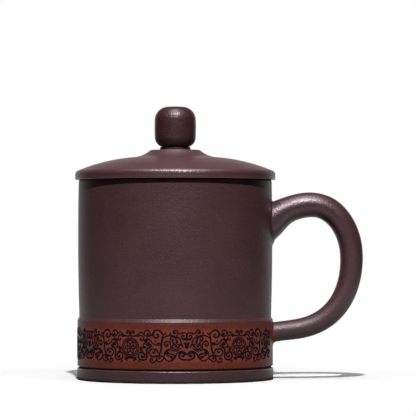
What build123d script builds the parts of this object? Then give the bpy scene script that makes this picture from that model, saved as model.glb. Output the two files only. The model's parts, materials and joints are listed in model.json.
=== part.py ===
"""A lidded clay tea mug, slab-built from separately formed clay pieces that are luted together.

Sizes are in millimetres. The origin is on the cup's axis, on the surface that the mug stands on.
+Z is up and the handle points along +X. The cup and the lid are two separate fired pieces, and the
lid lifts straight off. The other pieces are joined face to face, as wet clay is joined with slip.
"""

import math
import os

from build123d import *

# Foot and base
FOOT_HEIGHT = 5.3
FOOT_STEP = 0.95  # how far the foot ring stands proud of the wall
FOOT_RING_WIDTH = 7.5
FOOT_TOP_ROUND = 0.7
FOOT_LOWER_ROUND = 0.7
FOOT_INNER_CHAMFER = 0.6
BASE_THICKNESS = 4.4
SEAM_COIL_LEG = 5.0  # height and width of the coil pressed into the inside corner
SEAM_COIL_SAG = 0.8  # how far its face is hollowed below the straight line

# Wall
WALL_RADIUS = 42.15  # outside, at the wall's lower end
MOUTH_SPREAD = 0.3  # how much wider the mouth is
WALL_BELLY = 0.4  # swelling at mid-height, as a beaten slab wall has
WALL_THICKNESS = 4.0
RIM_HEIGHT = 87.6
RIM_ROUND = 1.0

# Red clay band and the moulded line above it
GROOVE_HEIGHT = 0.7  # plain wall showing between the foot ring and the band
BAND_HEIGHT = 19.8
BAND_STEP = 0.8
BAND_THICKNESS = 1.6
BAND_ROUND = 0.45
LINE_HEIGHT = 1.65
LINE_EDGE = 0.25  # upright edge of the line, below its bevel
LINE_ROUND = 0.2

# Medallions: pairs of thin slip rings in a row around the band, which leaves the handle's side free
MEDALLION_COUNT = 5
MEDALLION_SPACING = 66.0  # degrees around the band
MEDALLION_TURN = -1.8  # degrees, from the side opposite the handle to the row's middle
MEDALLION_UP = 9.5  # from the band's lower edge to their centres
MEDALLION_RADIUS = 4.15
MEDALLION_RING_GAP = 0.4
MEDALLION_LINE = 0.4  # width of each ring
SLIP_RELIEF = 0.15  # how far the slip stands proud of the band

# Handle, a tapered coil bent into a loop; its path is measured from the wall and from the rim
HANDLE_REACH = 35.4  # from the wall to the coil's centre at its furthest
HANDLE_APEX_OUT = 18.0  # from the wall to the highest point of the loop
HANDLE_APEX_DROP = 11.0  # from the rim down to the coil's centre there
HANDLE_SIDE_DROP = 34.3  # from the rim down to the furthest point of the loop
HANDLE_LOW_OUT = 10.4  # from the wall to where the lower run straightens
HANDLE_LOW_UP = 15.85  # from the band's lower edge up to that place
HANDLE_LOW_SLOPE = 7.5  # degrees, how much the lower run falls towards the wall
HANDLE_SIDE_PULL = 14.8  # how far the loop's side carries on down before it bends in
HANDLE_LOW_PULL = 18.5  # how far the lower run's line carries on out before it bends up
HANDLE_ROOT_SLOPE = 36.9  # degrees, how steeply the coil leaves the wall
HANDLE_ROOT_BEND = 26.2  # radius between the upper root and the apex
HANDLE_ROOT_DEPTH = 6.0  # how far the path starts inside the wall's outer face
HANDLE_TOP_THICKNESS = 11.7
HANDLE_LOW_THICKNESS = 8.3
HANDLE_TOP_BREADTH = 13.4
HANDLE_LOW_BREADTH = 9.4
TOP_FLARE = 6.9  # growth of the coil's thickness towards its upper root
TOP_FLARE_BREADTH = 3.8
TOP_FLARE_LENGTH = 22.3
LOW_FLARE = 4.8
LOW_FLARE_BREADTH = 1.8
LOW_FLARE_LENGTH = 9.2
HANDLE_SECTIONS = 19

# Lid
LID_OVERHANG = 1.6
LID_EDGE_HEIGHT = 2.3
LID_EDGE_ROUND = 1.8
LID_EDGE_TURN = 67.0  # degrees, from the upright edge to the dome's slope
LID_LOWER_ROUND = 0.3
FLARE_RADIUS = 18.6  # where the dome turns up into the flare under the knob
FLARE_RISE = 9.9  # height of that place above the rim
COLLAR_RADIUS = 10.85
COLLAR_RISE = 13.1
COLLAR_ROUND = 0.35
CROWN_RISE = 13.3  # flat seat of the knob above the rim
LID_HOLLOW_RISE = 4.8
FLANGE_DEPTH = 7.0
FLANGE_THICKNESS = 3.2
FLANGE_ROUND = 0.8
FLANGE_CLEARANCE = 0.6

# Knob
NECK_RADIUS = 6.7
NECK_HEIGHT = 1.1
KNOB_RADIUS = 9.13
KNOB_BARREL = 0.43  # how far the sides swell at mid-height
KNOB_HEIGHT = 17.8
KNOB_TOP_ROUND = 5.9
KNOB_BOTTOM_ROUND = 4.3
KNOB_CROWN = 0.3

# Places that follow from the sizes above
wall_inner = WALL_RADIUS - WALL_THICKNESS
mouth_radius = WALL_RADIUS + MOUTH_SPREAD
foot_radius = WALL_RADIUS + FOOT_STEP
foot_inner = foot_radius - FOOT_RING_WIDTH
floor_height = FOOT_HEIGHT + BASE_THICKNESS
band_radius = WALL_RADIUS + BAND_STEP
band_seat = band_radius - BAND_THICKNESS
band_bottom = FOOT_HEIGHT + GROOVE_HEIGHT
band_top = band_bottom + BAND_HEIGHT
line_top = band_top + LINE_HEIGHT
belly_height = (line_top + RIM_HEIGHT) / 2
belly_radius = (WALL_RADIUS + mouth_radius) / 2 + WALL_BELLY
lid_radius = mouth_radius + LID_OVERHANG
flange_outer = wall_inner - FLANGE_CLEARANCE
flange_inner = flange_outer - FLANGE_THICKNESS
crown_height = RIM_HEIGHT + CROWN_RISE
knob_bottom = crown_height + NECK_HEIGHT


def wall_outside():
    """Outer face of the wall in a profile, from the moulded line up to the mouth."""
    ThreePointArc((WALL_RADIUS, line_top), (belly_radius, belly_height), (mouth_radius, RIM_HEIGHT))


def line_bevel():
    """Outer face of the moulded line in a profile: an upright edge, then a bevel in to the wall."""
    bevel_start = (band_radius, band_top + LINE_EDGE)
    FilletPolyline(
        (band_radius, band_top), bevel_start, (WALL_RADIUS, line_top), radius=LINE_ROUND
    )


# Cup wall: a rolled slab with a shallow seat turned around its lower part for the band and the line
with BuildPart() as cup_wall:
    with BuildSketch(Plane.XZ):
        with BuildLine():
            Polyline(
                (wall_inner, RIM_HEIGHT),
                (wall_inner, FOOT_HEIGHT),
                (WALL_RADIUS, FOOT_HEIGHT),
                (WALL_RADIUS, band_bottom),
                (band_seat, band_bottom),
                (band_seat, line_top),
                (WALL_RADIUS, line_top),
            )
            wall_outside()
            Line((mouth_radius, RIM_HEIGHT), (wall_inner, RIM_HEIGHT))
        make_face()
    revolve(axis=Axis.Z)
    fillet(cup_wall.edges().group_by(Axis.Z)[-1], radius=RIM_ROUND)
cup_wall.part.label = "cup_wall"


# Base disc: closes the wall and rests on the foot ring
with BuildPart() as base_disc:
    with BuildSketch(Plane.XY.offset(FOOT_HEIGHT)):
        Circle(wall_inner)
    extrude(amount=BASE_THICKNESS)
base_disc.part.label = "base_disc"


# Seam coil: a thin coil pressed into the inside corner of wall and base, hollowed by the finger
with BuildPart() as floor_seam_coil:
    with BuildSketch(Plane.XZ):
        with BuildLine():
            toe = (wall_inner - SEAM_COIL_LEG, floor_height)
            top = (wall_inner, floor_height + SEAM_COIL_LEG)
            Polyline(top, (wall_inner, floor_height), toe)
            SagittaArc(toe, top, -SEAM_COIL_SAG)
        make_face()
    revolve(axis=Axis.Z)
floor_seam_coil.part.label = "floor_seam_coil"


# Foot ring: a plain moulding under wall and base, rounded outside
with BuildPart() as foot_ring:
    with BuildSketch(Plane.XY):
        Circle(foot_radius)
        Circle(foot_inner, mode=Mode.SUBTRACT)
    extrude(amount=FOOT_HEIGHT)
    rims = foot_ring.edges().filter_by(GeomType.CIRCLE).group_by(SortBy.RADIUS)[-1].sort_by(Axis.Z)
    fillet(rims[-1], radius=FOOT_TOP_ROUND)
    rims = foot_ring.edges().filter_by(GeomType.CIRCLE).group_by(Axis.Z)[0].sort_by(SortBy.RADIUS)
    fillet(rims[-1], radius=FOOT_LOWER_ROUND)
    inner_edge = foot_ring.faces().sort_by(Axis.Z)[0].edges().sort_by(SortBy.RADIUS)[0]
    chamfer(inner_edge, length=FOOT_INNER_CHAMFER)
foot_ring.part.label = "foot_ring"


# Red band: a strip of red clay laid into the wall's seat
with BuildPart() as red_band:
    with BuildSketch(Plane.XY.offset(band_bottom)):
        Circle(band_radius)
        Circle(band_seat, mode=Mode.SUBTRACT)
    extrude(amount=BAND_HEIGHT)
    lower_edge = red_band.edges().group_by(Axis.Z)[0].sort_by(SortBy.RADIUS)[-1]
    fillet(lower_edge, radius=BAND_ROUND)
red_band.part.label = "red_band"


# Medallion rings: two concentric rings of dark slip for each medallion, laid on the band
medallion_planes = []
for index in range(MEDALLION_COUNT):
    turn = 180 + MEDALLION_TURN + (index - (MEDALLION_COUNT - 1) / 2) * MEDALLION_SPACING
    outward = Vector(1, 0, 0).rotate(Axis.Z, turn)
    centre = outward * band_radius + Vector(0, 0, band_bottom + MEDALLION_UP)
    medallion_planes.append(Plane(centre, x_dir=Vector(0, 0, 1), z_dir=outward))
inner_ring_radius = MEDALLION_RADIUS - MEDALLION_LINE - MEDALLION_RING_GAP
ring_cut_depth = band_radius - math.sqrt(band_radius**2 - MEDALLION_RADIUS**2) + SLIP_RELIEF

with BuildPart() as medallion_rings:
    with BuildSketch(*medallion_planes):
        for ring_radius in (MEDALLION_RADIUS, inner_ring_radius):
            Circle(ring_radius)
            Circle(ring_radius - MEDALLION_LINE, mode=Mode.SUBTRACT)
    extrude(amount=ring_cut_depth, both=True)
    with BuildSketch(Plane.XY.offset(band_bottom)):
        Circle(band_radius + SLIP_RELIEF)
        Circle(band_radius, mode=Mode.SUBTRACT)
    extrude(amount=BAND_HEIGHT, mode=Mode.INTERSECT)
medallion_rings.part.label = "medallion_rings"


# Band line: the moulded dark line that leads from the wall out to the band
with BuildPart() as band_line:
    with BuildSketch(Plane.XZ):
        with BuildLine():
            Polyline(
                (WALL_RADIUS, line_top),
                (band_seat, line_top),
                (band_seat, band_top),
                (band_radius, band_top),
            )
            line_bevel()
        make_face()
    revolve(axis=Axis.Z)
band_line.part.label = "band_line"


# Handle: lofted through ovals along the coil's path, then trimmed to the cup's outside
apex_x = WALL_RADIUS + HANDLE_APEX_OUT
apex_z = RIM_HEIGHT - HANDLE_APEX_DROP
side_x = WALL_RADIUS + HANDLE_REACH
side_z = RIM_HEIGHT - HANDLE_SIDE_DROP
low_x = WALL_RADIUS + HANDLE_LOW_OUT
low_z = band_bottom + HANDLE_LOW_UP
root_x = WALL_RADIUS - HANDLE_ROOT_DEPTH
low_slope = math.radians(HANDLE_LOW_SLOPE)
low_root_z = low_z - (low_x - root_x) * math.tan(low_slope)
slope = math.radians(HANDLE_ROOT_SLOPE)
bend_x = apex_x - HANDLE_ROOT_BEND * math.sin(slope)
bend_z = apex_z - HANDLE_ROOT_BEND * (1 - math.cos(slope))
root_z = bend_z - (bend_x - root_x) * math.tan(slope)

with BuildLine(Plane.XZ) as coil_path:
    Line((root_x, root_z), (bend_x, bend_z))
    JernArc(
        (bend_x, bend_z),
        tangent=(math.cos(slope), math.sin(slope)),
        radius=HANDLE_ROOT_BEND,
        arc_size=-HANDLE_ROOT_SLOPE,
    )
    EllipticalCenterArc(
        (apex_x, side_z), side_x - apex_x, apex_z - side_z, start_angle=90, arc_size=-90
    )
    Bezier(
        (side_x, side_z),
        (side_x, side_z - HANDLE_SIDE_PULL),
        (low_x + HANDLE_LOW_PULL * math.cos(low_slope), low_z + HANDLE_LOW_PULL * math.sin(low_slope)),
        (low_x, low_z),
    )
    Line((low_x, low_z), (root_x, low_root_z))
coil_wire = coil_path.wire()


def coil_section(share):
    """Half the thickness and half the breadth of the coil at a share of its path's length."""
    along = share * coil_wire.length
    to_end = coil_wire.length - along
    near_top = max(0, 1 - along / TOP_FLARE_LENGTH) ** 2
    near_low = max(0, 1 - to_end / LOW_FLARE_LENGTH) ** 2
    thickness = HANDLE_TOP_THICKNESS + (HANDLE_LOW_THICKNESS - HANDLE_TOP_THICKNESS) * share
    thickness += TOP_FLARE * near_top + LOW_FLARE * near_low
    breadth = HANDLE_TOP_BREADTH + (HANDLE_LOW_BREADTH - HANDLE_TOP_BREADTH) * share
    breadth += TOP_FLARE_BREADTH * near_top + LOW_FLARE_BREADTH * near_low
    return thickness / 2, breadth / 2


with BuildPart() as handle:
    for index in range(HANDLE_SECTIONS):
        share = index / (HANDLE_SECTIONS - 1)
        half_thickness, half_breadth = coil_section(share)
        section_plane = Plane(coil_wire @ share, x_dir=(0, 1, 0), z_dir=coil_wire % share)
        with BuildSketch(section_plane):
            Ellipse(half_breadth, half_thickness)
    loft()
    with BuildSketch(Plane.XZ):
        with BuildLine():
            Polyline(
                (mouth_radius, RIM_HEIGHT),
                (0, RIM_HEIGHT),
                (0, band_bottom),
                (band_radius, band_bottom),
                (band_radius, band_top),
            )
            line_bevel()
            wall_outside()
        make_face()
    revolve(axis=Axis.Z, mode=Mode.SUBTRACT)
handle.part.label = "handle"


# Lid plate: a shallow dome that flares up to the knob's collar, hollowed underneath
with BuildPart() as lid_plate:
    with BuildSketch(Plane.XZ) as lid_profile:
        hollow_top = (0, RIM_HEIGHT + LID_HOLLOW_RISE)
        flange_corner = (flange_inner, RIM_HEIGHT)
        edge_corner = (lid_radius, RIM_HEIGHT)
        flare_start = (FLARE_RADIUS, RIM_HEIGHT + FLARE_RISE)
        collar_corner = (COLLAR_RADIUS, RIM_HEIGHT + COLLAR_RISE)
        with BuildLine():
            TangentArc(hollow_top, flange_corner, tangent=(1, 0))
            Line(flange_corner, edge_corner)
            edge = Line(edge_corner, (lid_radius, RIM_HEIGHT + LID_EDGE_HEIGHT))
            shoulder = JernArc(edge @ 1, edge % 1, radius=LID_EDGE_ROUND, arc_size=LID_EDGE_TURN)
            dome = TangentArc(shoulder @ 1, flare_start, tangent=shoulder % 1)
            TangentArc(flare_start, collar_corner, tangent=dome % 1)
            Polyline(collar_corner, (NECK_RADIUS, crown_height), (0, crown_height), hollow_top)
        make_face()
        fillet(lid_profile.vertices().sort_by_distance(edge_corner)[0], radius=LID_LOWER_ROUND)
        fillet(lid_profile.vertices().sort_by_distance(collar_corner)[0], radius=COLLAR_ROUND)
    revolve(axis=Axis.Z)
lid_plate.part.label = "lid_plate"


# Lid flange: the ring that drops into the cup's mouth and keeps the lid in place
with BuildPart() as lid_flange:
    with BuildSketch(Plane.XY.offset(RIM_HEIGHT)):
        Circle(flange_outer)
        Circle(flange_inner, mode=Mode.SUBTRACT)
    extrude(amount=-FLANGE_DEPTH)
    fillet(lid_flange.edges().group_by(Axis.Z)[0], radius=FLANGE_ROUND)
lid_flange.part.label = "lid_flange"


# Knob neck: the short waist between the lid's crown and the knob
with BuildPart() as knob_neck:
    with BuildSketch(Plane.XY.offset(crown_height)):
        Circle(NECK_RADIUS)
    extrude(amount=NECK_HEIGHT)
knob_neck.part.label = "knob_neck"


# Knob: a barrel with well-rounded shoulders and a slightly crowned top
with BuildPart() as knob:
    with BuildSketch(Plane.XZ) as knob_profile:
        knob_top = (0, knob_bottom + KNOB_HEIGHT)
        bottom_corner = (KNOB_RADIUS - KNOB_BARREL, knob_bottom)
        top_corner = (KNOB_RADIUS - KNOB_BARREL, knob_bottom + KNOB_HEIGHT - KNOB_CROWN)
        with BuildLine():
            Polyline(knob_top, (0, knob_bottom), bottom_corner)
            ThreePointArc(bottom_corner, (KNOB_RADIUS, knob_bottom + KNOB_HEIGHT / 2), top_corner)
            TangentArc(knob_top, top_corner, tangent=(1, 0))
        make_face()
        fillet(knob_profile.vertices().sort_by_distance(top_corner)[0], radius=KNOB_TOP_ROUND)
        fillet(knob_profile.vertices().sort_by_distance(bottom_corner)[0], radius=KNOB_BOTTOM_ROUND)
    revolve(axis=Axis.Z)
knob.part.label = "knob"


pieces = (
    cup_wall,
    base_disc,
    floor_seam_coil,
    foot_ring,
    red_band,
    medallion_rings,
    band_line,
    handle,
    lid_plate,
    lid_flange,
    knob_neck,
    knob,
)
os.makedirs("parts", exist_ok=True)
for piece in pieces:
    export_step(piece.part, f"parts/{piece.part.label}.step")
    print(piece.part.label, "volume", round(piece.part.volume), "valid", piece.part.is_valid)
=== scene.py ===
"""Looks of a clay tea mug with a loose lid: finishes, ornament, handle joints, floor, light and camera.

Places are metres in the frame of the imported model: the foot stands on z = 0, the cup's axis is the z axis
and the handle points along +x. The solids of the frame stay as they are and get their finish here. The
ornament of the band and the luted joints of the handle are surfaces worked out below, by classes that
count in millimetres and degrees.
"""

from __future__ import annotations

import json
import logging
import math
from dataclasses import dataclass
from enum import Enum
from typing import ClassVar

import bmesh
import bpy
import numpy as np
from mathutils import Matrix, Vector

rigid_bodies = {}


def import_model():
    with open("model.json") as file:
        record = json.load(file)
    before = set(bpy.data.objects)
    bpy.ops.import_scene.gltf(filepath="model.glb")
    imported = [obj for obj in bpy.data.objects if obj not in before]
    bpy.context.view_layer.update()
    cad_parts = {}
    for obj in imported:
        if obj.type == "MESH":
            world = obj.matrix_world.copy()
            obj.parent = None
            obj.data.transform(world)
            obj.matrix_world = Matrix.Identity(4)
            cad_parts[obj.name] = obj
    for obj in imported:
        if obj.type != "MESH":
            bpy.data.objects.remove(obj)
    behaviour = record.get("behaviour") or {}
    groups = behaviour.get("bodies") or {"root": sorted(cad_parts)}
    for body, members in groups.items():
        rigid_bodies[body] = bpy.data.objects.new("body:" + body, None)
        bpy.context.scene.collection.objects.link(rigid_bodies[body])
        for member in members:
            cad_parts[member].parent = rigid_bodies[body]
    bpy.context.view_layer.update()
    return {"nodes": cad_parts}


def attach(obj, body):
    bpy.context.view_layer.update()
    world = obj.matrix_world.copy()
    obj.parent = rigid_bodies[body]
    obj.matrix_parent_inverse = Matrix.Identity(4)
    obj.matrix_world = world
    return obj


LOG = logging.getLogger("clay_tea_mug")
# Metres in a millimetre, the band's outer radius in millimetres, and the distance in metres below which
# two points of a new piece become one.
MM = 0.001
BAND_RADIUS = 42.95
MERGE_DISTANCE = 1e-7

Colour = tuple[float, float, float]
Point = tuple[float, float]


class Slot(Enum):
    """Material slots of the record."""

    DARK_CLAY = "dark_clay"
    RED_CLAY = "red_clay"
    DARK_SLIP = "dark_slip"


class Body(Enum):
    """Bodies of the frame: the cup, and the lid that lifts off it."""

    CUP = "cup"
    LID = "lid"


class Wire:
    """An output socket that takes part in Python arithmetic, each operator adding one Math node."""

    def __init__(self, sheet: NodeSheet, socket: bpy.types.NodeSocket | None) -> None:
        """Keeps the sheet and the socket, which is None for a node without outputs."""
        self.sheet = sheet
        self.socket = socket

    def __add__(self, other: Wire | float) -> Wire:
        """Sum of two values."""
        return self.sheet.math("ADD", self, other)

    __radd__ = __add__

    def __sub__(self, other: Wire | float) -> Wire:
        """This value less another."""
        return self.sheet.math("SUBTRACT", self, other)

    def __rsub__(self, other: float) -> Wire:
        """A number less this value."""
        return self.sheet.math("SUBTRACT", other, self)

    def __mul__(self, other: Wire | float) -> Wire:
        """Product of two values."""
        return self.sheet.math("MULTIPLY", self, other)

    __rmul__ = __mul__

    def __abs__(self) -> Wire:
        """The value without its sign."""
        return self.sheet.math("ABSOLUTE", self)

    def __or__(self, other: Wire | float) -> Wire:
        """The larger of two values, which joins two masks."""
        return self.sheet.math("MAXIMUM", self, other)

    __ror__ = __or__

    def smooth(self, low: float, high: float) -> Wire:
        """Smooth step from 0 at low to 1 at high; low may be the larger of the two.

        Args:
            low: The value that gives 0.
            high: The value that gives 1.

        Returns:
            The stepped value.
        """
        limits = {"From Min": min(low, high), "From Max": max(low, high)}
        ends = {"To Min": float(low > high), "To Max": float(low < high)}
        settings = {"interpolation_type": "SMOOTHSTEP"}
        return self.sheet.add("ShaderNodeMapRange", settings, {"Value": self, **limits, **ends})


class NodeSheet:
    """A node tree that is being filled."""

    def __init__(self, tree: bpy.types.NodeTree) -> None:
        """Starts from an empty tree."""
        self.tree = tree
        tree.nodes.clear()

    def add(
        self,
        kind: str,
        settings: dict[str, object] | None = None,
        inputs: dict[str | int, object] | None = None,
        output: str | int = 0,
    ) -> Wire:
        """Adds one node.

        Args:
            kind: Blender's name of the node's type.
            settings: The node's own properties, which are set first.
            inputs: A value or a wire for each socket, by the socket's name or number.
            output: The socket that is handed back.

        Returns:
            The chosen output.
        """
        node = self.tree.nodes.new(kind)
        for name, value in (settings or {}).items():
            setattr(node, name, value)
        for key, value in (inputs or {}).items():
            socket = node.inputs[key]
            if isinstance(value, Wire):
                self.tree.links.new(value.socket, socket)
            elif socket.type == "RGBA":
                socket.default_value = (*value, 1.0)
            else:
                socket.default_value = value
        return Wire(self, node.outputs[output]) if len(node.outputs) else Wire(self, None)

    def math(self, operation: str, *values: Wire | float) -> Wire:
        """One Math node on wires and numbers."""
        return self.add("ShaderNodeMath", {"operation": operation}, dict(enumerate(values)))

    def mix_colour(self, share: Wire | float, first: Wire | Colour, second: Wire | Colour) -> Wire:
        """Colour between two colours, by a share from 0 to 1."""
        return self.add("ShaderNodeMix", {"data_type": "RGBA"}, {0: share, 6: first, 7: second}, output=2)

    def place(self) -> Wire:
        """Object coordinates, which are the frame's own metres."""
        return self.add("ShaderNodeTexCoord", output="Object")

    def axes(self, vector: Wire) -> tuple[Wire, Wire, Wire]:
        """The x, y and z of a vector."""
        node = self.add("ShaderNodeSeparateXYZ", {}, {0: vector}).socket.node
        return Wire(self, node.outputs[0]), Wire(self, node.outputs[1]), Wire(self, node.outputs[2])

    def stretched(self, vector: Wire, scale: tuple[float, float, float]) -> Wire:
        """A vector with each axis multiplied by its own factor."""
        return self.add("ShaderNodeVectorMath", {"operation": "MULTIPLY"}, {0: vector, 1: scale})

    def brighter(self, colour: Wire, factor: float) -> Wire:
        """A colour multiplied by one factor."""
        return self.add("ShaderNodeVectorMath", {"operation": "SCALE"}, {0: colour, "Scale": factor})

    def noise(self, vector: Wire, size: float, detail: float = 2.0, roughness: float = 0.5) -> Wire:
        """Soft noise about 0, from -1 to 1, with lumps of a given size in metres."""
        inputs = {"Vector": vector, "Scale": 1 / size, "Detail": detail, "Roughness": roughness}
        return self.add("ShaderNodeTexNoise", {}, inputs) * 2.0 - 1.0

    def surface(self, shader: Wire) -> None:
        """Links a shader to the tree's output."""
        self.add("ShaderNodeOutputMaterial", {}, {"Surface": shader})


def new_material(name: str) -> tuple[bpy.types.Material, NodeSheet]:
    """Makes a material with an empty node tree.

    Args:
        name: The material's name.

    Returns:
        The material and the sheet of its tree.
    """
    material = bpy.data.materials.new(name)
    material.use_nodes = True
    return material, NodeSheet(material.node_tree)


def scaled(colour: Colour, factor: float) -> Colour:
    """A colour made lighter or darker by one factor."""
    return tuple(channel * factor for channel in colour)


@dataclass(frozen=True)
class PaintedLowShade:
    """Painted shade on the lower part of a piece: none above one height, full below another."""

    clean_above: float
    full_below: float
    share: float = 1.0


@dataclass(frozen=True)
class ClayFinish:
    """Unglazed clay: mottling, sandy grain, specks, tool streaks, edge wear, a painted highlight,
    painted shade and rubbed ground.
    """

    name: str
    colour: Colour
    roughness: float
    pale_sand: Colour = (0.12, 0.06, 0.055)
    dark_sand: Colour = (0.025, 0.010, 0.010)
    specular: float = 0.6
    sheen_tint: Colour = (1.0, 0.9, 1.0)
    tone_spread: float = 0.2
    mottle_size: float = 22 * MM
    mottle_share: float = 0.5
    mottle_gloss: float = 0.05
    grain_size: float = 0.8 * MM
    grain_share: float = 0.9
    grain_gloss: float = 0.04
    sand_spacing: float = 1.1 * MM
    sand_share: float = 0.25
    sand_shift: float = 0.37
    sand_edge: tuple[float, float] = (0.34, 0.16)
    sand_choice: tuple[float, float] = (0.62, 0.72)
    streak_length: float = 18 * MM
    streak_height: float = 0.7 * MM
    streak_share: float = 0.25
    relief: float = 0.08 * MM
    wear_and_highlight_height: float | None = None
    wear_and_highlight_reach: float = 0.8 * MM
    wear_and_highlight_break: float = 0.6
    wear_and_highlight_share: float = 0.45
    wear_and_highlight_gloss: float = 0.08
    painted_low_shade: tuple[PaintedLowShade, ...] = ()
    painted_shade_darkness: float = 0.2
    painted_shade_dullness: float = 0.4
    rubbed_between: tuple[float, float] | None = None
    rubbed_fade: float = 1.5 * MM
    rubbed: float = 1.55
    burnished_from: float | None = None
    burnished_to: float = 0.0
    burnish: float = 0.12

    def material(self) -> bpy.types.Material:
        """Builds the material.

        The tone is a weighted sum of mottling, streaks and grain, and lies between a darker and a lighter
        shade of the clay. Pale and dark sand is scattered over it. The bump is grain and streaks.

        Returns:
            The material, on Object coordinates.
        """
        material, sheet = new_material(self.name)
        place = sheet.place()
        mottle = sheet.noise(place, self.mottle_size, detail=3.0)
        grain = sheet.noise(place, self.grain_size, detail=2.0, roughness=0.6)
        flat = 1 / self.streak_length
        streak = sheet.noise(sheet.stretched(place, (flat, flat, 1 / self.streak_height)), 1.0)
        tone = 0.5 + mottle * self.mottle_share + streak * self.streak_share + grain * self.grain_share
        shades = (scaled(self.colour, 1 - self.tone_spread), scaled(self.colour, 1 + self.tone_spread))
        base = sheet.mix_colour(tone, *shades)
        for sand, shift in ((self.pale_sand, 0.0), (self.dark_sand, self.sand_shift)):
            base = sheet.mix_colour(self.sand(sheet, place, shift) * self.sand_share, base, sand)
        roughness = self.roughness + mottle * self.mottle_gloss + grain * self.grain_gloss
        base, roughness = self.wear_and_painted_light(sheet, place, grain, base, roughness)
        height = grain + streak * self.streak_share
        normal = sheet.add("ShaderNodeBump", {}, {"Distance": self.relief, "Height": height})
        shader = {"Base Color": base, "Roughness": roughness, "Normal": normal}
        gloss = {"Specular IOR Level": self.specular, "Specular Tint": self.sheen_tint}
        sheet.surface(sheet.add("ShaderNodeBsdfPrincipled", {}, {**shader, **gloss}))
        return material

    def wear_and_painted_light(
        self, sheet: NodeSheet, place: Wire, grain: Wire, base: Wire, roughness: Wire
    ) -> tuple[Wire, Wire]:
        """Adds marks of making and use and painted light at given heights, each through a mask from 0 to 1.

        Wear on an edge shows pale sand, broken up by the grain, and is smoother; on the foot's top edge this
        mark is a painted highlight. Painted shade low on a piece is dark and dull. A rubbed ground is the
        same clay, lighter. Burnishing takes off roughness upwards from a height.

        Args:
            sheet: The sheet to add to.
            place: Object coordinates.
            grain: The grain's noise.
            base: The clay's colour so far.
            roughness: The clay's roughness so far.

        Returns:
            The colour and the roughness.
        """
        _, _, level = sheet.axes(place)
        # Wear at an edge, paler and smoother; on the foot's top edge this is a painted highlight.
        if self.wear_and_highlight_height is not None:
            edge = abs(level - self.wear_and_highlight_height).smooth(self.wear_and_highlight_reach, 0.0)
            wear_and_highlight = edge * (self.wear_and_highlight_break + grain * self.wear_and_highlight_break)
            base = sheet.mix_colour(wear_and_highlight * self.wear_and_highlight_share, base, self.pale_sand)
            roughness = roughness - wear_and_highlight * self.wear_and_highlight_gloss
        # Painted shade: the clay gets darker and duller towards the bottom of a piece.
        for shading in self.painted_low_shade:
            painted_low_shade = level.smooth(shading.clean_above, shading.full_below) * shading.share
            base = sheet.mix_colour(painted_low_shade, base, scaled(self.dark_sand, self.painted_shade_darkness))
            roughness = roughness + painted_low_shade * self.painted_shade_dullness
        if self.rubbed_between is not None:
            low, high = self.rubbed_between
            above = level.smooth(low, low + self.rubbed_fade)
            below = level.smooth(high, high - self.rubbed_fade)
            base = sheet.mix_colour(above * below, base, sheet.brighter(base, self.rubbed))
        if self.burnished_from is not None:
            roughness = roughness - level.smooth(self.burnished_from, self.burnished_to) * self.burnish
        return base, roughness

    def sand(self, sheet: NodeSheet, place: Wire, shift: float) -> Wire:
        """Mask of scattered sand grains.

        A grain is the core of a Voronoi cell, kept where the cell's own random value is high.

        Args:
            sheet: The sheet to add to.
            place: Object coordinates.
            shift: Moves the grains, in metres, so that two sets differ.

        Returns:
            1 in the middle of a grain and 0 between grains.
        """
        moved = sheet.add("ShaderNodeVectorMath", {"operation": "ADD"}, {0: place, 1: (shift, shift, shift)})
        cells = sheet.add("ShaderNodeTexVoronoi", {}, {"Vector": moved, "Scale": 1 / self.sand_spacing})
        node = cells.socket.node
        chosen, _, _ = sheet.axes(Wire(sheet, node.outputs["Color"]))
        core = Wire(sheet, node.outputs["Distance"]).smooth(*self.sand_edge)
        return core * chosen.smooth(*self.sand_choice)


@dataclass(frozen=True)
class SlipFinish:
    """Dark slip drawn on clay: nearly black, slightly uneven in tone, with a dry brushed sheen."""

    name: str
    colour: Colour
    thin_colour: Colour
    roughness: float
    specular: float = 0.1
    patch_size: float = 1.6 * MM
    patch_share: float = 0.5
    patch_edge: tuple[float, float] = (0.0, 0.9)
    grain_size: float = 0.25 * MM
    grain_gloss: float = 0.06
    relief: float = 0.02 * MM

    def material(self) -> bpy.types.Material:
        """Builds the material: slip that thins out in soft patches over the clay below it.

        Returns:
            The material, on Object coordinates.
        """
        material, sheet = new_material(self.name)
        place = sheet.place()
        thin = sheet.noise(place, self.patch_size, detail=3.0).smooth(*self.patch_edge)
        grain = sheet.noise(place, self.grain_size)
        base = sheet.mix_colour(thin * self.patch_share, self.colour, self.thin_colour)
        normal = sheet.add("ShaderNodeBump", {}, {"Distance": self.relief, "Height": grain})
        roughness = self.roughness + grain * self.grain_gloss
        inputs = {"Base Color": base, "Roughness": roughness, "Normal": normal}
        gloss = {"Specular IOR Level": self.specular}
        sheet.surface(sheet.add("ShaderNodeBsdfPrincipled", {}, {**inputs, **gloss}))
        return material


def background_rays(sheet: NodeSheet, in_reflections: Wire | float = 1.0) -> Wire:
    """Share of the white background that a ray shows.

    Args:
        sheet: The sheet to add to.
        in_reflections: The share for glossy and transmission rays.

    Returns:
        1 for camera rays, the given share for glossy and transmission rays, and 0 for the rest.
    """
    node = sheet.add("ShaderNodeLightPath").socket.node
    names = ("Is Camera Ray", "Is Glossy Ray", "Is Transmission Ray")
    camera, glossy, through = (Wire(sheet, node.outputs[name]) for name in names)
    return camera | (glossy | through) * in_reflections


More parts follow.
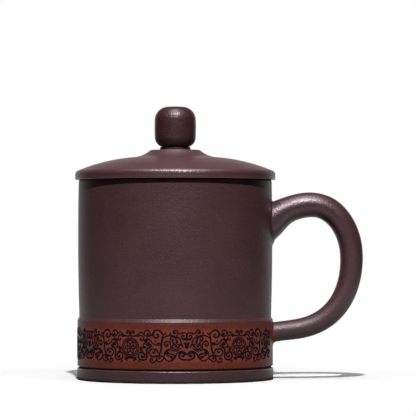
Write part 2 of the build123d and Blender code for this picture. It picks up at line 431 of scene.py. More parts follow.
@dataclass(frozen=True)
class FloorFinish:
    """Plain pale floor that keeps the object's shadow near it and fades to the white background.

    The rays that show the floor see it pale. The light that it throws back at the object is that of a
    darker floor, so that the object's lower half keeps its own tone.
    """

    seen_colour: Colour = (0.66, 0.66, 0.66)
    bounce_colour: Colour = (0.15, 0.135, 0.15)
    in_reflections: float = 0.35
    fade_start: float = 0.088
    fade_end: float = 0.14

    def material(self) -> bpy.types.Material:
        """Builds the material: diffuse near the object, the white background further out.

        Returns:
            The material, on Object coordinates.
        """
        material, sheet = new_material("pale_floor")
        x, y, _ = sheet.axes(sheet.place())
        radius = sheet.math("SQRT", x * x + y * y)
        dim = sheet.add("ShaderNodeBsdfDiffuse", {}, {"Color": self.bounce_colour})
        pale = sheet.add("ShaderNodeBsdfDiffuse", {}, {"Color": self.seen_colour})
        white = sheet.add("ShaderNodeEmission", {}, {"Color": (1.0, 1.0, 1.0), "Strength": 1.0})
        shown = background_rays(sheet, self.in_reflections)
        near = sheet.add("ShaderNodeMixShader", {}, {0: shown, 1: dim, 2: pale})
        far = radius.smooth(self.fade_start, self.fade_end) * background_rays(sheet)
        sheet.surface(sheet.add("ShaderNodeMixShader", {}, {0: far, 1: near, 2: white}))
        return material


def mesh_object(name: str, points: np.ndarray, quads: np.ndarray) -> bpy.types.Object:
    """Makes a smooth-shaded mesh object at the origin.

    Args:
        name: The piece's name.
        points: Points, in metres, shape (n, 3).
        quads: Corner numbers, shape (m, 4).

    Returns:
        The object, with doubled points merged and faces turned outwards.
    """
    mesh = bpy.data.meshes.new(name)
    mesh.from_pydata(points.tolist(), [], quads.tolist())
    shell = bmesh.new()
    shell.from_mesh(mesh)
    bmesh.ops.remove_doubles(shell, verts=shell.verts, dist=MERGE_DISTANCE)
    bmesh.ops.recalc_face_normals(shell, faces=shell.faces)
    shell.to_mesh(mesh)
    shell.free()
    mesh.shade_smooth()
    piece = bpy.data.objects.new(name, mesh)
    bpy.context.scene.collection.objects.link(piece)
    return piece


def tube_quads(tubes: int, rings: int, sides: int, closed: bool) -> np.ndarray:
    """Corner numbers of the quads between neighbouring rings of several tubes.

    Args:
        tubes: How many tubes.
        rings: Rings along each tube.
        sides: Points around each ring.
        closed: Whether the last ring joins the first.

    Returns:
        Corner numbers, shape (m, 4).
    """
    tube, ring, side = np.meshgrid(
        np.arange(tubes), np.arange(rings if closed else rings - 1), np.arange(sides), indexing="ij"
    )

    def corner(step_along: int, step_around: int) -> np.ndarray:
        """Number of the point a step further along or around."""
        return ((tube * rings) + (ring + step_along) % rings) * sides + (side + step_around) % sides

    corners = (corner(0, 0), corner(1, 0), corner(1, 1), corner(0, 1))
    return np.stack(corners, axis=-1).reshape(-1, 4)


def finish_piece(piece: bpy.types.Object, material: bpy.types.Material, body: Body) -> None:
    """Gives a new piece its material and slot, lets it ride on its body and reports it.

    Args:
        piece: The piece.
        material: Its material.
        body: The body that carries it.
    """
    piece.data.materials.append(material)
    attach(piece, body.value)
    LOG.info("%s: %d faces, rides on %s", piece.name, len(piece.data.polygons), body.value)


@dataclass(frozen=True)
class Scroll:
    """One stroke of the ornament, drawn flat in millimetres.

    The stroke runs through its stem's points and, where it has an eye, winds around it from the last of
    them by the turn, in degrees. The places are the arc length from a medallion's axis and the height
    above the table.
    """

    stem: tuple[Point, ...]
    eye: Point | None = None
    turn: float = 0.0
    width: float = 0.6
    WINDING_STEPS: ClassVar[int] = 18
    WINDING_POWER: ClassVar[float] = 2.4
    FINENESS: ClassVar[int] = 8

    def line(self, count: int, eye_radius: float) -> np.ndarray:
        """The stroke's middle line.

        The winding's radius falls from its start to its end with a power of the share of the turn, so it
        stays wide and then dives in. A Catmull-Rom curve leads through stem and winding, and is then spaced
        evenly.

        Args:
            count: How many points.
            eye_radius: Where the winding ends, measured from the eye; below 0 it runs past the eye.

        Returns:
            Points in millimetres, shape (count, 2).
        """
        knots = np.array(self.stem)
        if self.eye is not None:
            eye = np.array(self.eye)
            arm = knots[-1] - eye
            share = np.linspace(0, 1, self.WINDING_STEPS + 1)[1:]
            start = np.hypot(*arm)
            length = start + (eye_radius - start) * share**self.WINDING_POWER
            angle = np.arctan2(arm[1], arm[0]) + math.radians(self.turn) * share
            wound = eye + length[:, None] * np.stack((np.cos(angle), np.sin(angle)), axis=-1)
            knots = np.vstack((knots, wound))
        return evenly_spaced(catmull_rom(knots, self.FINENESS * count), count)


def catmull_rom(knots: np.ndarray, count: int) -> np.ndarray:
    """Smooth curve through knots, by Catmull-Rom cubics with the end knots mirrored outwards.

    Args:
        knots: The knots, shape (n, d).
        count: How many points to give.

    Returns:
        Points on the curve, shape (count, d).
    """
    padded = np.vstack((2 * knots[0] - knots[1], knots, 2 * knots[-1] - knots[-2]))
    last = len(knots) - 1
    place = np.linspace(0, last, count)
    span = np.minimum(place.astype(int), last - 1)
    t = (place - span)[:, None]
    a, b, c, d = (padded[span + step] for step in range(4))
    return b + 0.5 * t * (c - a + t * (2 * a - 5 * b + 4 * c - d + t * (3 * b - a - 3 * c + d)))


def evenly_spaced(line: np.ndarray, count: int) -> np.ndarray:
    """Moves a line's points to even distances along it.

    Args:
        line: Points that lie close together, shape (n, d).
        count: How many points to give.

    Returns:
        Points, shape (count, d).
    """
    steps = np.linalg.norm(np.diff(line, axis=0), axis=1)
    along = np.concatenate(([0.0], np.cumsum(steps)))
    places = np.linspace(0, along[-1], count)
    return np.stack([np.interp(places, along, axis) for axis in line.T], axis=-1)


@dataclass
class SlipDrawing:
    """Beads of slip laid on the band: the scrolls around each medallion and a rosette inside it.

    Lengths are millimetres and angles degrees.
    """

    band_radius: float = BAND_RADIUS
    relief: float = 0.15
    sunk: float = 0.12
    eye_radius: float = -0.42
    eye_width: float = 1.1
    eye_share: float = 0.16
    taper: float = 2.2
    rings: int = 64
    sides: int = 6
    medallion_height: float = 15.5
    medallion_count: int = 5
    medallion_spacing: float = 66.0
    medallion_turn: float = -1.8
    rosette_radius: float = 2.45
    rosette_hollow: float = 1.15
    rosette_petals: int = 6
    rosette_line: float = 0.58
    rosette_power: float = 0.6
    rosette_points: int = 256
    scrolls: tuple[Scroll, ...] = ()

    def medallion_angles(self) -> np.ndarray:
        """Angles from the handle in degrees, evenly spaced about the side opposite to it."""
        steps = np.arange(self.medallion_count) - (self.medallion_count - 1) / 2
        return 180 + self.medallion_turn + self.medallion_spacing * steps

    def bead(self, line: np.ndarray, width: np.ndarray, closed: bool) -> np.ndarray:
        """Carries an oval bead along flat lines.

        The bead's half width lies across the line and its relief stands off the band; below, it is sunk
        into the band. Open lines run out at both ends: width and relief follow a quarter of an ellipse,
        which is long where the stroke starts and round where it ends.

        Args:
            line: Middle lines in millimetres, shape (strokes, rings, 2).
            width: Full width at each of those points, shape (strokes, rings).
            closed: Whether each line closes on itself.

        Returns:
            Points as arc length, height and stand-off in millimetres, shape (strokes, rings, sides, 3).
        """
        if closed:
            heading = np.roll(line, -1, axis=1) - np.roll(line, 1, axis=1)
            swell = np.ones(width.shape)
        else:
            heading = np.gradient(line, axis=1)
            steps = np.linalg.norm(np.diff(line, axis=1), axis=2)
            along = np.concatenate((np.zeros((len(line), 1)), np.cumsum(steps, axis=1)), axis=1)
            to_end = np.minimum(along, along[:, -1:] - along)
            from_start = along <= along[:, -1:] / 2
            share = np.clip(to_end / (width / 2 * np.where(from_start, self.taper, 1)), 0, 1)
            swell = np.sqrt(1 - (1 - share) ** 2)
        heading = heading / np.linalg.norm(heading, axis=2, keepdims=True)
        across = np.stack((-heading[..., 1], heading[..., 0]), axis=-1)
        turn = np.linspace(0, 2 * math.pi, self.sides, endpoint=False)
        reach = (width / 2 * swell)[..., None] * np.cos(turn)
        rise = np.where(np.sin(turn) >= 0, self.relief, self.sunk) * np.sin(turn)
        flat = line[:, :, None, :] + reach[..., None] * across[:, :, None, :]
        return np.concatenate((flat, (swell[..., None] * rise)[..., None]), axis=-1)

    def wrapped(self, flat: np.ndarray, angle: float, side: int) -> np.ndarray:
        """Lays flat bead points around the band.

        Args:
            flat: Arc length, height and stand-off in millimetres.
            angle: Where arc length 0 lies, in degrees around the axis from the handle.
            side: 1 runs to the right seen from outside, -1 to the left.

        Returns:
            Points in metres, shape (n, 3).
        """
        turn = math.radians(angle) + side * flat[..., 0] / self.band_radius
        radius = self.band_radius + flat[..., 2]
        points = np.stack((radius * np.cos(turn), radius * np.sin(turn), flat[..., 1]), axis=-1)
        return points.reshape(-1, 3) * MM

    def scroll_beads(self) -> np.ndarray:
        """Beads of all scrolls of one half field.

        A wound stroke swells like a comma to its eye: over its last share it widens with the square of the
        way gone.

        Returns:
            Bead points of all strokes.
        """
        line = np.stack([scroll.line(self.rings, self.eye_radius) for scroll in self.scrolls])
        share = np.linspace(0, 1, self.rings)
        swell = np.clip((share - 1 + self.eye_share) / self.eye_share, 0, 1) ** 2
        width = np.stack([
            scroll.width + (self.eye_width - scroll.width) * swell * (scroll.eye is not None)
            for scroll in self.scrolls
        ])
        return self.bead(line, width, closed=False)

    def rosette_beads(self) -> np.ndarray:
        """Beads of one rosette, flat around arc length 0.

        The petals are one closed line whose radius swings between the hollow and the rosette's radius
        with a power of the cosine of the petal count times the angle; a small circle closes the middle.

        Returns:
            Bead points of both closed lines.
        """
        angle = np.linspace(0, 2 * math.pi, self.rosette_points, endpoint=False)
        swing = (1 + np.cos(self.rosette_petals * angle)) / 2
        depth = self.rosette_radius - self.rosette_hollow
        petals = self.rosette_hollow + depth * swing**self.rosette_power
        middle = np.full(angle.shape, self.rosette_hollow / 2)
        radius = np.stack((petals, middle))
        flat = np.stack((radius * np.cos(angle), self.medallion_height + radius * np.sin(angle)), axis=-1)
        return self.bead(flat, np.full(radius.shape, self.rosette_line), closed=True)

    def build(self, material: bpy.types.Material) -> None:
        """Makes one scroll piece and one rosette piece for each medallion.

        Args:
            material: The slip.
        """
        beads = self.scroll_beads()
        rosette = self.rosette_beads()
        both_halves = tube_quads(2 * len(self.scrolls), self.rings, self.sides, closed=False)
        closed_lines = tube_quads(len(rosette), rosette.shape[1], self.sides, closed=True)
        for number, angle in enumerate(self.medallion_angles(), start=1):
            halves = [self.wrapped(beads, angle, side) for side in (1, -1)]
            scrolls = mesh_object(f"scroll_field_{number}", np.vstack(halves), both_halves)
            finish_piece(scrolls, material, Body.CUP)
            petals = mesh_object(f"rosette_{number}", self.wrapped(rosette, angle, 1), closed_lines)
            finish_piece(petals, material, Body.CUP)


def half_field_scrolls() -> tuple[Scroll, ...]:
    """Strokes of the field from a medallion's axis to the middle between two medallions.

    Returns:
        The strokes, from the medallion outwards.
    """
    over_medallion = (
        Scroll(((0.15, 20.5), (0.35, 21.3)), (1.2, 21.7), -350),
        Scroll(
            (
                (0.0, 20.3), (1.7, 20.3), (3.2, 20.7), (4.3, 21.6), (5.1, 22.0), (6.0, 21.4),
                (7.0, 20.5), (8.1, 20.1), (9.2, 20.5), (10.3, 21.5),
            )
        ),
        Scroll(((2.8, 20.3), (3.6, 20.1)), (4.85, 19.15), -300),
        Scroll(((6.6, 20.7), (6.45, 21.3)), (7.9, 21.4), -350),
    )
    main_stem = (
        Scroll(((14.9, 20.6), (14.2, 21.6), (13.4, 22.4)), (12.1, 20.9), 350, 0.8),
        Scroll(((14.6, 20.9), (15.2, 21.1), (15.9, 21.8))),
        Scroll(
            (
                (14.6, 20.8), (14.3, 19.6), (14.2, 18.4), (13.95, 17.0), (13.9, 15.4), (13.5, 13.7),
                (12.8, 12.6),
            ),
            width=0.8,
        ),
        Scroll(((13.95, 15.4), (13.6, 16.7)), (12.7, 16.6), 250, 0.67),
    )
    beside_medallion = (
        Scroll(((12.0, 16.5), (10.9, 16.9), (10.1, 17.4), (9.55, 18.1)), (8.4, 17.6), 350),
        Scroll(
            (
                (10.0, 16.2), (9.0, 15.7), (8.0, 15.2), (7.5, 14.2), (7.5, 12.6), (7.5, 11.2),
                (7.2, 10.3),
            ),
            width=0.85,
        ),
        Scroll(((6.1, 19.0), (7.1, 18.4), (6.6, 17.4), (6.1, 16.6), (6.5, 15.9), (7.3, 15.3))),
        Scroll(((7.0, 15.7), (6.2, 15.3)), (5.4, 14.7), 330),
        Scroll(((8.8, 18.9), (7.9, 19.1), (7.0, 18.8), (6.3, 18.2)), width=0.67),
        Scroll(((10.9, 18.6), (11.4, 18.2), (11.5, 17.7))),
        Scroll(((9.6, 17.2), (9.0, 16.6), (7.9, 16.4), (7.0, 16.8))),
        Scroll(
            ((7.3, 10.4), (6.3, 10.2), (5.2, 10.2), (4.2, 10.6), (3.8, 11.5)), (5.35, 11.95), -370, 0.8
        ),
    )
    under_stem = (
        Scroll(((13.2, 12.6), (12.2, 12.1), (11.2, 11.75), (10.2, 11.7)), (10.3, 13.5), -370),
        Scroll(((12.1, 11.9), (11.9, 10.6), (11.2, 9.8)), (10.05, 10.3), -330),
        Scroll(((15.1, 11.8), (14.9, 10.7), (14.1, 10.0)), (13.0, 10.8), -350),
        Scroll(((12.6, 12.4), (13.6, 12.0), (15.0, 11.6)), width=0.67),
        Scroll(((9.9, 14.6), (9.2, 14.3), (8.5, 13.7), (8.6, 12.8))),
        Scroll(((11.2, 15.2), (11.9, 14.5), (12.3, 13.7), (12.7, 12.9)), width=0.67),
    )
    short_strokes = (
        Scroll(((9.4, 15.9), (10.0, 16.4)), width=0.9),
        Scroll(((14.2, 19.8), (14.35, 18.7)), width=1.0),
        Scroll(((6.3, 13.2), (5.1, 13.35)), width=0.75),
    )
    around_middle = (
        Scroll(
            (
                (14.4, 19.5), (15.6, 20.1), (17.0, 20.6), (18.6, 20.6), (19.9, 20.1), (21.3, 19.6),
                (22.1, 18.7), (22.35, 17.4), (22.8, 16.2), (23.4, 15.5),
            )
        ),
        Scroll(((20.4, 17.4), (20.5, 18.6), (20.0, 19.4)), (18.8, 18.95), 350, 0.67),
        Scroll(((17.9, 14.6), (18.0, 16.0), (17.8, 17.2), (17.3, 17.9)), (16.45, 16.9), 350),
        Scroll(((22.3, 17.0), (21.4, 15.9), (20.6, 15.1), (19.7, 14.75)), (19.8, 15.95), -350),
        Scroll(
            (
                (15.1, 11.6), (15.4, 13.4), (16.6, 14.55), (18.0, 14.55), (19.4, 14.1), (20.8, 14.3),
                (22.1, 15.3),
            )
        ),
        Scroll(((24.0, 21.9), (22.8, 21.7), (21.6, 21.4), (20.8, 21.7)), (19.75, 21.8), 350, 0.67),
        Scroll(((17.3, 20.9), (17.7, 21.5), (18.0, 22.1))),
        Scroll(((23.3, 21.9), (24.1, 21.8)), (23.45, 20.45), -370),
        Scroll(((20.3, 18.9), (20.6, 18.0), (20.4, 17.1)), width=1.0),
        Scroll(((20.2, 19.6), (20.6, 20.3), (20.4, 21.1))),
        Scroll(((18.4, 17.7), (19.0, 17.5), (19.5, 17.1)), width=0.8),
        Scroll(((20.8, 16.5), (21.4, 16.9), (22.1, 16.7))),
        Scroll(((22.6, 19.4), (23.2, 18.9), (24.0, 18.8)), width=0.67),
    )
    lower_edge = (
        Scroll(
            (
                (24.9, 12.2), (23.8, 13.4), (22.6, 14.0), (21.3, 13.5), (20.3, 12.6), (19.7, 11.2),
                (18.7, 10.2), (17.3, 9.75), (15.9, 10.3), (15.1, 11.6),
            )
        ),
        Scroll(((16.1, 14.2), (16.8, 13.3), (17.7, 12.8), (18.7, 12.7)), (18.4, 11.65), -310, 0.67),
        Scroll(((17.3, 14.3), (16.7, 14.1)), (16.5, 13.2), 290),
        Scroll(((24.9, 10.4), (23.4, 10.3), (22.2, 10.75)), (22.8, 12.05), -370, 0.8),
        Scroll(((0.0, 11.0), (1.6, 11.0), (3.0, 11.3))),
        Scroll(((3.2, 10.4), (2.6, 10.5)), (2.1, 10.1), 260),
        Scroll(((3.5, 10.0), (4.1, 9.5), (4.8, 9.5))),
        Scroll(((16.2, 12.7), (16.9, 12.1), (17.6, 11.8), (18.2, 11.5))),
    )
    middle_motif = (
        Scroll(((23.3, 17.3), (24.0, 17.2), (24.6, 16.7), (24.9, 16.0)), width=1.3),
        Scroll(((23.9, 18.7), (24.4, 19.1), (24.9, 19.0)), width=0.85),
        Scroll(((24.9, 17.0), (24.9, 15.1)), width=1.6),
        Scroll(((24.9, 18.3), (24.9, 19.8)), width=0.85),
        Scroll(((24.9, 13.3), (24.9, 12.3)), width=1.3),
    )
    return (
        *over_medallion,
        *main_stem,
        *beside_medallion,
        *under_stem,
        *short_strokes,
        *around_middle,
        *lower_edge,
        *middle_motif,
    )


@dataclass(frozen=True)
class CupSide:
    """Outside of the cup, in millimetres: a shallow belly above the moulded line, the band below it."""

    band_radius: float = BAND_RADIUS
    bevel_bottom: float = 26.05
    line_top: float = 27.45
    wall_radius: float = 42.15
    rim_height: float = 87.6
    mouth_spread: float = 0.3
    belly: float = 0.4

    def radius(self, height: np.ndarray) -> np.ndarray:
        """Outer radius at given heights.

        Above the line it grows evenly to the mouth, plus the belly times 1 - u squared, where u runs from
        -1 at the line to 1 at the rim. Below, it follows the bevel out to the band.

        Args:
            height: Heights above the table.

        Returns:
            The radius at each height.
        """
        u = 2 * (height - self.line_top) / (self.rim_height - self.line_top) - 1
        wall = self.wall_radius + self.mouth_spread * (1 + u) / 2 + self.belly * (1 - u**2)
        below = np.interp(height, (self.bevel_bottom, self.line_top), (self.band_radius, self.wall_radius))
        return np.where(height > self.line_top, wall, below)


@dataclass(frozen=True)
class CoilRoot:
    """One root of the handle's coil and the clay smeared around it, in millimetres.

    Lengths along the coil start at the path's end inside the wall. From there the path rises by the slope,
    in degrees, runs straight and then, on the upper root, bends over to the apex.
    """

    name: str
    start: Point
    slope: float
    thickness: float
    thickness_gain: float
    breadth: float
    breadth_gain: float
    flare: float
    flare_breadth: float
    flare_length: float
    reach_above: float
    reach_below: float
    slot: Slot = Slot.DARK_CLAY
    straight: float = math.inf
    bend: float = 1.0
    search: float = 20.0
    sunk: float = 0.06
    core: float = 1.0
    sides: int = 96
    steps: int = 9
    halvings: int = 30

    def skin(self, along: np.ndarray, turn: np.ndarray) -> np.ndarray:
        """Points of the coil's skin.

        The path's point, plus half the thickness times the cosine of the turn along its upward normal,
        plus half the breadth times the sine of the turn across. Both grow evenly along the coil, and by
        the flare towards the wall, which falls off with the square of the length that is left.

        Args:
            along: Lengths along the path.
            turn: Angles around the section, 0 on its upper side.

        Returns:
            Points, shape (n, 3).
        """
        first = math.radians(self.slope)
        lean = first - np.clip(along - self.straight, 0, None) / self.bend
        run = np.minimum(along, self.straight)
        x = self.start[0] + run * math.cos(first) + self.bend * (math.sin(first) - np.sin(lean))
        z = self.start[1] + run * math.sin(first) + self.bend * (np.cos(lean) - math.cos(first))
        flare = np.clip(1 - along / self.flare_length, 0, None) ** 2
        high = (self.thickness + self.thickness_gain * along + self.flare * flare) / 2 * np.cos(turn)
        wide = (self.breadth + self.breadth_gain * along + self.flare_breadth * flare) / 2 * np.sin(turn)
        return np.stack((x - high * np.sin(lean), wide, z + high * np.cos(lean)), axis=-1)

    def leaves_cup(self, turn: np.ndarray, side: CupSide) -> np.ndarray:
        """Lengths at which the skin comes out of the cup, by halving an interval for all angles at once.

        Args:
            turn: Angles around the section.
            side: The cup's outside.

        Returns:
            One length for each angle.
        """
        near = np.zeros(turn.shape)
        far = np.full(turn.shape, self.search)
        for _ in range(self.halvings):
            middle = (near + far) / 2
            point = self.skin(middle, turn)
            inside = np.hypot(point[:, 0], point[:, 1]) < side.radius(point[:, 2])
            near = np.where(inside, middle, near)
            far = np.where(inside, far, middle)
        return near

    def joint(self, side: CupSide) -> np.ndarray:
        """Ring of clay smeared into the corner between coil and cup.

        Each profile is a quadratic curve that starts on the coil, at the reach from the corner, is drawn
        towards the corner and ends on the cup at the same reach. Its ends are sunk a little, and a point
        inside the clay closes it.

        Args:
            side: The cup's outside.

        Returns:
            Points, shape (sides, steps + 1, 3).
        """
        turn = np.linspace(0, 2 * math.pi, self.sides, endpoint=False)
        reach = self.reach_above + (self.reach_below - self.reach_above) * ((1 - np.cos(turn)) / 2) ** 2
        start = self.leaves_cup(turn, side)
        corner = self.skin(start, turn)
        on_coil = self.skin(start + reach, turn)
        outward = corner * (1, 1, 0) / np.hypot(corner[:, :1], corner[:, 1:2])
        edge = np.roll(corner, -1, axis=0) - np.roll(corner, 1, axis=0)
        away = np.cross(edge, outward)
        away *= np.sign(np.sum(away * (corner - corner.mean(axis=0)), axis=1, keepdims=True))
        away /= np.linalg.norm(away, axis=1, keepdims=True)
        on_cup = corner + reach[:, None] * away
        on_cup[:, :2] *= (side.radius(on_cup[:, 2]) / np.hypot(on_cup[:, 0], on_cup[:, 1]))[:, None]
        inward = on_coil.mean(axis=0) - on_coil
        inward /= np.linalg.norm(inward, axis=1, keepdims=True)
        on_coil += self.sunk * inward
        on_cup -= self.sunk * outward
        closing = corner + self.core * (inward - outward)
        share = np.linspace(0, 1, self.steps)[None, :, None]
        curve = (1 - share) ** 2 * on_coil[:, None] + share**2 * on_cup[:, None]
        curve += 2 * share * (1 - share) * corner[:, None]
        return np.concatenate((curve, closing[:, None]), axis=1)

    def build(self, side: CupSide, material: bpy.types.Material) -> None:
        """Makes the ring of smeared clay as a piece of the cup.

        Args:
            side: The cup's outside.
            material: The clay that is smeared around the root.
        """
        points = self.joint(side).reshape(-1, 3) * MM
        ring = mesh_object(self.name, points, tube_quads(1, self.sides, self.steps + 1, closed=True))
        finish_piece(ring, material, Body.CUP)


def handle_roots() -> tuple[CoilRoot, CoilRoot]:
    """The handle's two roots, with the sizes that its solid has; red clay is smeared around the lower one.

    Returns:
        The upper and the lower root.
    """
    # Rounded down from the solid's 120.4 mm, which moves the skin at a root by less than 0.01 mm.
    coil_length = 118.0
    upper_thickness = 11.7
    lower_thickness = 8.3
    upper_breadth = 13.4
    lower_breadth = 9.4
    taper = (upper_thickness - lower_thickness) / coil_length
    taper_breadth = (upper_breadth - lower_breadth) / coil_length
    upper = CoilRoot(
        "handle_joint_upper",
        start=(36.15, 65.14),
        slope=36.9,
        thickness=upper_thickness,
        thickness_gain=-taper,
        breadth=upper_breadth,
        breadth_gain=-taper_breadth,
        flare=6.9,
        flare_breadth=3.8,
        flare_length=22.3,
        reach_above=1.0,
        reach_below=1.6,
        straight=10.34,
        bend=26.2,
    )
    lower = CoilRoot(
        "handle_joint_lower",
        start=(36.15, 19.69),
        slope=7.5,
        thickness=lower_thickness,
        thickness_gain=taper,
        breadth=lower_breadth,
        breadth_gain=taper_breadth,
        flare=4.8,
        flare_breadth=1.8,
        flare_length=9.2,
        reach_above=0.9,
        reach_below=1.8,
        slot=Slot.RED_CLAY,
    )
    return upper, lower


@dataclass
class CupDress:
    """Finishes of the cup's solids, the ornament of its band and the joints of its handle."""

    wall: ClayFinish
    foot: ClayFinish
    inside: ClayFinish
    line: ClayFinish
    band: ClayFinish
    handle: ClayFinish
    slip: SlipFinish
    drawing: SlipDrawing
    side: CupSide
    roots: tuple[CoilRoot, ...]

    def build(self, nodes: dict[str, bpy.types.Object]) -> None:
        """Dresses the solids and adds the handle's joints and the slip drawing.

        Args:
            nodes: The frame's solids by name.
        """
        inside = self.inside.material()
        slip = self.slip.material()
        dress(nodes["cup_wall"], self.wall.material())
        dress(nodes["foot_ring"], self.foot.material())
        dress(nodes["band_line"], self.line.material())
        for name in ("base_disc", "floor_seam_coil"):
            dress(nodes[name], inside)
        clay = {Slot.RED_CLAY: self.band.material(), Slot.DARK_CLAY: self.handle.material()}
        dress(nodes["red_band"], clay[Slot.RED_CLAY])
        dress(nodes["handle"], clay[Slot.DARK_CLAY])
        for root in self.roots:
            root.build(self.side, clay[root.slot])
        dress(nodes["medallion_rings"], slip)
        self.drawing.build(slip)


@dataclass
class LidDress:
    """Finishes of the lid's solids."""

    plate: ClayFinish
    inside: ClayFinish
    knob: ClayFinish

    def build(self, nodes: dict[str, bpy.types.Object]) -> None:
        """Dresses the solids.

        Args:
            nodes: The frame's solids by name.
        """
        dress(nodes["lid_plate"], self.plate.material())
        dress(nodes["lid_flange"], self.inside.material())
        knob = self.knob.material()
        for name in ("knob_neck", "knob"):
            dress(nodes[name], knob)


def dress(node: bpy.types.Object, material: bpy.types.Material) -> None:
    """Puts one material on a whole solid and reports it.

    Args:
        node: The solid.
        material: Its material.
    """
    node.data.materials.clear()
    node.data.materials.append(material)
    LOG.info("%s: dressed with %s", node.name, material.name)


@dataclass(frozen=True)
class StudioLamp:
    """An area lamp: where it hangs, seen from the mug, how large it is and how strong."""

    name: str
    direction: tuple[float, float, float]
    distance: float
    width: float
    height: float
    power: float
    in_reflections: bool = True

    def hang(self, target: Vector) -> None:
        """Hangs the lamp so that it looks at a place.

        Args:
            target: The place, in metres.
        """
        data = bpy.data.lights.new(self.name, "AREA")
        data.shape = "RECTANGLE"
        data.size = self.width
        data.size_y = self.height
        data.energy = self.power
        lamp = bpy.data.objects.new(self.name, data)
        away = Vector(self.direction).normalized()
        lamp.location = target + away * self.distance
        lamp.rotation_euler = (-away).to_track_quat("-Z", "Y").to_euler()
        lamp.visible_glossy = self.in_reflections
        bpy.context.scene.collection.objects.link(lamp)


@dataclass
class Studio:
    """Camera at the photo's place, a key lamp in front, softer light above and behind, and a pale floor."""

    eye: tuple[float, float, float] = (14.4 * MM, -1243.4 * MM, 63.0 * MM)
    aim: tuple[float, float, float] = (14.4 * MM, 0.0, 75.2 * MM)
    lens: float = 244.55
    target: tuple[float, float, float] = (0.0, 0.0, 70 * MM)
    key: StudioLamp = StudioLamp(
        "key_light", (0.03, -0.74, 1.0), distance=1.15, width=0.03, height=0.03, power=19.0
    )
    top: StudioLamp = StudioLamp(
        "top_light", (0.0, -0.12, 1.0), distance=0.8, width=0.4, height=0.4, power=2.6
    )
    fill: StudioLamp = StudioLamp(
        "back_fill", (0.0, 0.94, 0.35), distance=1.2, width=0.7, height=0.7, power=5.0, in_reflections=False
    )
    room_level: float = 0.01
    backdrop_depth: tuple[float, float] = (0.62, 0.93)
    backdrop_height: tuple[float, float] = (0.6, 0.1)
    floor_radius: float = 0.24
    floor_sides: int = 96
    floor_rings: int = 13
    floor: FloorFinish = FloorFinish()

    def build(self) -> None:
        """Sets up view transform, camera, light, background and floor."""
        bpy.context.scene.view_settings.view_transform = "Standard"
        self.place_camera()
        for lamp in (self.key, self.top, self.fill):
            lamp.hang(Vector(self.target))
        self.paint_background()
        self.lay_floor()

    def place_camera(self) -> None:
        """Looks at the mug from the photo's height and distance."""
        data = bpy.data.cameras.new("photo_camera")
        data.lens = self.lens
        camera = bpy.data.objects.new("photo_camera", data)
        camera.location = self.eye
        camera.rotation_euler = (Vector(self.aim) - Vector(self.eye)).to_track_quat("-Z", "Y").to_euler()
        bpy.context.scene.collection.objects.link(camera)
        bpy.context.scene.camera = camera

    def paint_background(self) -> None:
        """White for the camera and, in reflections, a white backdrop behind the mug in a dim room."""
        world = bpy.data.worlds.new("studio")
        world.use_nodes = True
        bpy.context.scene.world = world
        sheet = NodeSheet(world.node_tree)
        _, depth, height = sheet.axes(sheet.add("ShaderNodeTexCoord", output="Generated"))
        backdrop = depth.smooth(*self.backdrop_depth) * abs(height).smooth(*self.backdrop_height)
        level = background_rays(sheet, backdrop) | self.room_level
        light = sheet.add("ShaderNodeBackground", {}, {"Color": (1.0, 1.0, 1.0), "Strength": level})
        sheet.add("ShaderNodeOutputWorld", {}, {"Surface": light})

    def lay_floor(self) -> None:
        """A round floor: a grid of angle and radius, flat at z = 0."""
        angle = np.linspace(0, 2 * math.pi, self.floor_sides, endpoint=False)
        radius = np.linspace(0, self.floor_radius, self.floor_rings)
        points = np.stack(
            (
                radius[:, None] * np.cos(angle),
                radius[:, None] * np.sin(angle),
                np.zeros((len(radius), len(angle))),
            ),
            axis=-1,
        )
        quads = tube_quads(1, self.floor_rings, self.floor_sides, closed=False)
        floor = mesh_object("floor", points.reshape(-1, 3), quads)
        floor.data.materials.append(self.floor.material())


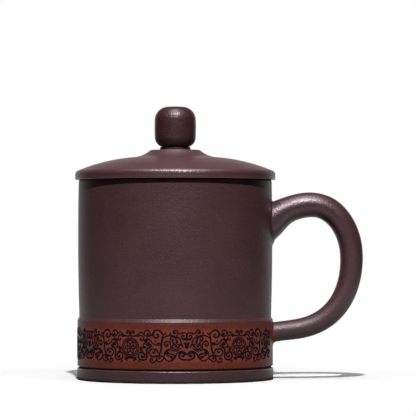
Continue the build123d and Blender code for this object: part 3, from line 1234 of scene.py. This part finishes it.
def clay_finishes() -> dict[str, ClayFinish]:
    """The clay finishes by use.

    Returns:
        Finishes for wall, foot, moulded line, inside, handle, lid, knob and band.
    """
    dark: Colour = (0.060, 0.0235, 0.0250)
    # Darker than the wall's clay, partly as painted shade on the knob.
    knob: Colour = (0.043, 0.0148, 0.0140)
    red: Colour = (0.125, 0.0235, 0.0120)
    return {
        "wall": ClayFinish(
            "dark_clay_wall",
            scaled(dark, 0.96),
            roughness=0.47,
            tone_spread=0.27,
            wear_and_highlight_height=87.4 * MM,
            # Painted shade on the wall's lowest part, seen in the groove between band and foot.
            painted_low_shade=(PaintedLowShade(15 * MM, 6 * MM),),
        ),
        "foot": ClayFinish(
            "dark_clay_foot",
            # A darker copy of the wall's clay, as painted shade on the foot near the floor.
            scaled(dark, 0.85),
            roughness=0.37,
            # A painted highlight on the foot's rounded top edge.
            wear_and_highlight_height=5.1 * MM,
            # Painted shade: black in the crevice at the foot's bottom edge, and a little darker up to 4.5
            # mm.
            painted_low_shade=(PaintedLowShade(1.5 * MM, 0.9 * MM), PaintedLowShade(4.5 * MM, 1.8 * MM, share=0.2)),
        ),
        "line": ClayFinish("dark_clay_line", scaled(dark, 0.9), roughness=0.47, specular=0.52),
        "inside": ClayFinish("dark_clay_inside", scaled(dark, 1.1), roughness=0.6, relief=0.06 * MM),
        "handle": ClayFinish(
            "dark_clay_handle",
            scaled(dark, 0.88),
            roughness=0.50,
            specular=0.8,
            grain_share=1.0,
            streak_share=0.05,
            burnished_from=30 * MM,
            burnished_to=78 * MM,
        ),
        "lid": ClayFinish(
            "dark_clay_lid",
            # A lighter copy of the wall's clay, as painted light on the lid's top, which faces up.
            scaled(dark, 1.08),
            roughness=0.41,
            specular=1.0,
            grain_share=1.1,
            streak_height=0.5 * MM,
            streak_share=0.5,
            relief=0.07 * MM,
            wear_and_highlight_height=88.2 * MM,
        ),
        "knob": ClayFinish(
            "dark_clay_knob",
            knob,
            roughness=0.38,
            specular=0.65,
            grain_size=1.0 * MM,
            streak_share=0.15,
            relief=0.10 * MM,
            # Painted shade on the knob's lower part, under its bulge.
            painted_low_shade=(PaintedLowShade(110 * MM, 102 * MM, share=0.5),),
        ),
        "band": ClayFinish(
            "red_clay_band",
            scaled(red, 0.92),
            roughness=0.44,
            pale_sand=(0.24, 0.07, 0.03),
            dark_sand=(0.06, 0.012, 0.006),
            specular=0.3,
            tone_spread=0.3,
            rubbed_between=(8.5 * MM, 23.8 * MM),
        ),
    }


def main() -> None:
    """Loads the frame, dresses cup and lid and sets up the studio."""
    logging.basicConfig(level=logging.INFO, format="%(message)s")
    for stray in list(bpy.data.objects):
        bpy.data.objects.remove(stray)
    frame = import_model()
    finishes = clay_finishes()
    slip = SlipFinish(
        "dark_slip", colour=(0.003, 0.003, 0.006), thin_colour=(0.010, 0.005, 0.006), roughness=0.7
    )
    cup = CupDress(
        wall=finishes["wall"],
        foot=finishes["foot"],
        inside=finishes["inside"],
        line=finishes["line"],
        band=finishes["band"],
        handle=finishes["handle"],
        slip=slip,
        drawing=SlipDrawing(scrolls=half_field_scrolls()),
        side=CupSide(),
        roots=handle_roots(),
    )
    cup.build(frame["nodes"])
    lid = LidDress(plate=finishes["lid"], inside=finishes["inside"], knob=finishes["knob"])
    lid.build(frame["nodes"])
    Studio().build()


if __name__ == "__main__":
    main()
